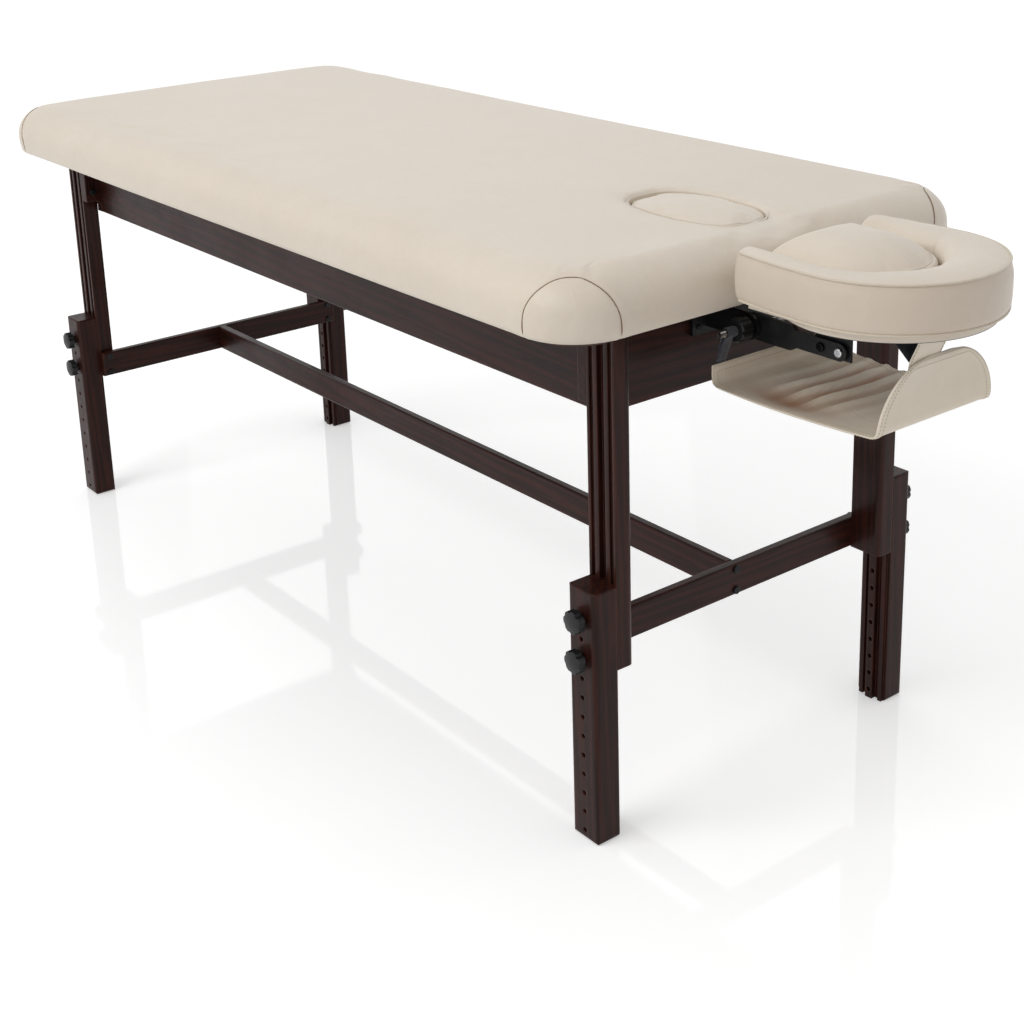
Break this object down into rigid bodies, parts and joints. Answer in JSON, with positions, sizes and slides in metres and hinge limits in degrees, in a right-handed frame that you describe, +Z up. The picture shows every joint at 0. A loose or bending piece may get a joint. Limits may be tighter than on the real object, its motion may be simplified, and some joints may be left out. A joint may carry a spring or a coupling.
{
  "type": "stationary massage table",
  "caption": "Stationary massage table with a cream padded top, dark wooden telescopic legs, a horseshoe face cradle on a tilting headrest and an arm sling.",
  "frame": {"origin": "centre of the bounding box's base, on the floor under the part's middle, legs at their longest", "axes": "+X towards the head end with the face cradle, +Y to the far long side in the picture, +Z up"},
  "size_m": [2.1119, 0.79, 0.8579],
  "materials": {
    "cushion_leather": "satin",
    "sling_leather": "satin",
    "dark_wood": "satin lacquer",
    "plywood": "matte",
    "knob_plastic": "matte",
    "black_steel": "satin",
    "bolt_black": "satin",
    "steel": "brushed",
    "brass": "satin",
    "webbing": "woven"
  },
  "bodies": {
    "frame": {"table_cushion": "cushion_leather", "deck_board": "plywood", "apron_near": "dark_wood", "apron_far": "dark_wood", "apron_head": "dark_wood", "apron_foot": "dark_wood", "cross_rail_head": "dark_wood", "cross_rail_foot": "dark_wood", "corner_blocks": "dark_wood", "upper_leg_head_near": "dark_wood", "upper_leg_head_far": "dark_wood", "upper_leg_foot_near": "dark_wood", "upper_leg_foot_far": "dark_wood", "thread_inserts": "brass", "stretcher_head": "dark_wood", "stretcher_foot": "dark_wood", "stretcher_long": "dark_wood", "stretcher_bolts": "bolt_black", "leg_bolts": "bolt_black", "headrest_bracket": "black_steel", "bracket_screws": "bolt_black", "pivot_rod": "steel"},
    "lower_leg_head_near": {"lower_leg_head_near": "dark_wood"},
    "knob_head_near_top": {"knob_head_near_top": "knob_plastic", "stud_head_near_top": "steel"},
    "knob_head_near_low": {"knob_head_near_low": "knob_plastic", "stud_head_near_low": "steel"},
    "lower_leg_head_far": {"lower_leg_head_far": "dark_wood"},
    "knob_head_far_top": {"knob_head_far_top": "knob_plastic", "stud_head_far_top": "steel"},
    "knob_head_far_low": {"knob_head_far_low": "knob_plastic", "stud_head_far_low": "steel"},
    "lower_leg_foot_near": {"lower_leg_foot_near": "dark_wood"},
    "knob_foot_near_top": {"knob_foot_near_top": "knob_plastic", "stud_foot_near_top": "steel"},
    "knob_foot_near_low": {"knob_foot_near_low": "knob_plastic", "stud_foot_near_low": "steel"},
    "lower_leg_foot_far": {"lower_leg_foot_far": "dark_wood"},
    "knob_foot_far_top": {"knob_foot_far_top": "knob_plastic", "stud_foot_far_top": "steel"},
    "knob_foot_far_low": {"knob_foot_far_low": "knob_plastic", "stud_foot_far_low": "steel"},
    "headrest": {"arm_near": "black_steel", "arm_far": "black_steel", "arm_bolts": "steel", "lug_near": "black_steel", "lug_far": "black_steel", "lug_screws": "steel", "cradle_board": "plywood", "arm_sling": "sling_leather", "front_strap": "sling_leather", "rear_strap_near": "webbing", "rear_strap_far": "webbing"},
    "clamp_knob_near": {"clamp_knob_near": "knob_plastic"},
    "clamp_knob_far": {"clamp_knob_far": "knob_plastic"},
    "face_cushion": {"face_cushion": "cushion_leather"},
    "face_plug": {"face_plug": "cushion_leather"},
    "breath_plug": {"breath_plug": "cushion_leather"}
  },
  "joints": [
    {"name": "lower_leg_head_near_slide", "type": "slide", "parent": "frame", "child": "lower_leg_head_near", "axis": [0, 0, 1], "range_m": [0, 0.27]},
    {"name": "knob_head_near_top_turn", "type": "hinge", "parent": "lower_leg_head_near", "child": "knob_head_near_top", "pos_m": [0.6635, -0.3, 0.345], "axis": [0, 1, 0], "continuous": true},
    {"name": "knob_head_near_low_turn", "type": "hinge", "parent": "lower_leg_head_near", "child": "knob_head_near_low", "pos_m": [0.6635, -0.3, 0.285], "axis": [0, 1, 0], "continuous": true},
    {"name": "lower_leg_head_far_slide", "type": "slide", "parent": "frame", "child": "lower_leg_head_far", "axis": [0, 0, 1], "range_m": [0, 0.27]},
    {"name": "knob_head_far_top_turn", "type": "hinge", "parent": "lower_leg_head_far", "child": "knob_head_far_top", "pos_m": [0.6635, 0.3, 0.345], "axis": [0, 1, 0], "continuous": true},
    {"name": "knob_head_far_low_turn", "type": "hinge", "parent": "lower_leg_head_far", "child": "knob_head_far_low", "pos_m": [0.6635, 0.3, 0.285], "axis": [0, 1, 0], "continuous": true},
    {"name": "lower_leg_foot_near_slide", "type": "slide", "parent": "frame", "child": "lower_leg_foot_near", "axis": [0, 0, 1], "range_m": [0, 0.27]},
    {"name": "knob_foot_near_top_turn", "type": "hinge", "parent": "lower_leg_foot_near", "child": "knob_foot_near_top", "pos_m": [-0.9865, -0.3, 0.345], "axis": [0, 1, 0], "continuous": true},
    {"name": "knob_foot_near_low_turn", "type": "hinge", "parent": "lower_leg_foot_near", "child": "knob_foot_near_low", "pos_m": [-0.9865, -0.3, 0.285], "axis": [0, 1, 0], "continuous": true},
    {"name": "lower_leg_foot_far_slide", "type": "slide", "parent": "frame", "child": "lower_leg_foot_far", "axis": [0, 0, 1], "range_m": [0, 0.27]},
    {"name": "knob_foot_far_top_turn", "type": "hinge", "parent": "lower_leg_foot_far", "child": "knob_foot_far_top", "pos_m": [-0.9865, 0.3, 0.345], "axis": [0, 1, 0], "continuous": true},
    {"name": "knob_foot_far_low_turn", "type": "hinge", "parent": "lower_leg_foot_far", "child": "knob_foot_far_low", "pos_m": [-0.9865, 0.3, 0.285], "axis": [0, 1, 0], "continuous": true},
    {"name": "headrest_tilt", "type": "hinge", "parent": "frame", "child": "headrest", "pos_m": [0.7235, 0, 0.72], "axis": [0, 1, 0], "range_deg": [-5, 35]},
    {"name": "clamp_knob_near_turn", "type": "hinge", "parent": "frame", "child": "clamp_knob_near", "pos_m": [0.7235, 0, 0.72], "axis": [0, 1, 0], "continuous": true},
    {"name": "clamp_knob_far_turn", "type": "hinge", "parent": "frame", "child": "clamp_knob_far", "pos_m": [0.7235, 0, 0.72], "axis": [0, 1, 0], "continuous": true},
    {"name": "face_cushion_lift", "type": "slide", "parent": "headrest", "child": "face_cushion", "axis": [0, 0, 1], "range_m": [0, 0.08]},
    {"name": "face_plug_lift", "type": "slide", "parent": "face_cushion", "child": "face_plug", "axis": [0, 0, 1], "range_m": [0, 0.1]},
    {"name": "breath_plug_lift", "type": "slide", "parent": "frame", "child": "breath_plug", "axis": [0, 0, 1], "range_m": [0, 0.12]}
  ]
}
